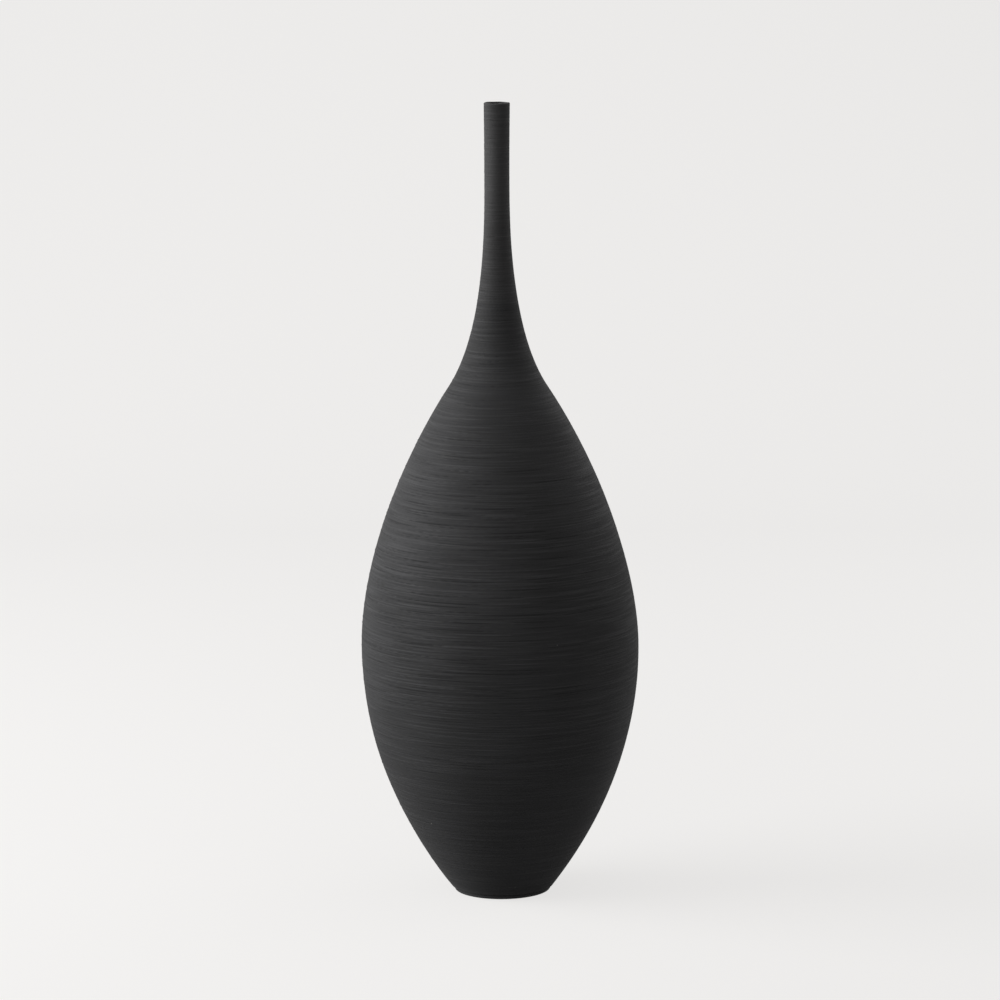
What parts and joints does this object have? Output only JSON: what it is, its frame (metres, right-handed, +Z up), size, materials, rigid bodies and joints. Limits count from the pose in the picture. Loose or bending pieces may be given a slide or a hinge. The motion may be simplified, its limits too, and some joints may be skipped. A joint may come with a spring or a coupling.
{
  "type": "bottle vase",
  "caption": "Tall matte black clay bottle vase: an almond body on a small foot, drawn up into a long thin neck, combed all over with fine uneven rings.",
  "frame": {"origin": "middle of the foot's standing face, on the table", "axes": "+Z up along the axis of the bottle, out of the mouth; the bottle is round, so +X and +Y are free"},
  "size_m": [0.15, 0.15, 0.43],
  "materials": {
    "combed_clay": "matte black fired clay, combed round with fine uneven rings",
    "neck_clay": "matte black fired clay with faint turning rings",
    "lip_clay": "matte black fired clay, wiped smooth",
    "foot_clay": "matte black fired clay, trimmed and slightly rubbed on the standing ring",
    "inner_clay": "dull black fired clay, finger-pressed and unfinished"
  },
  "bodies": {
    "root": {"foot_disc": "foot_clay", "foot_wall": "combed_clay", "lower_belly_wall": "combed_clay", "upper_belly_wall": "combed_clay", "shoulder_wall": "combed_clay", "shoulder_cone": "combed_clay", "neck_tube": "neck_clay", "mouth_tube": "neck_clay", "lip_ring": "lip_clay", "foot_seam_coil": "inner_clay", "lower_seam_coil": "inner_clay", "belly_seam_coil": "inner_clay", "upper_seam_coil": "inner_clay", "shoulder_seam_coil": "inner_clay"}
  },
  "joints": []
}
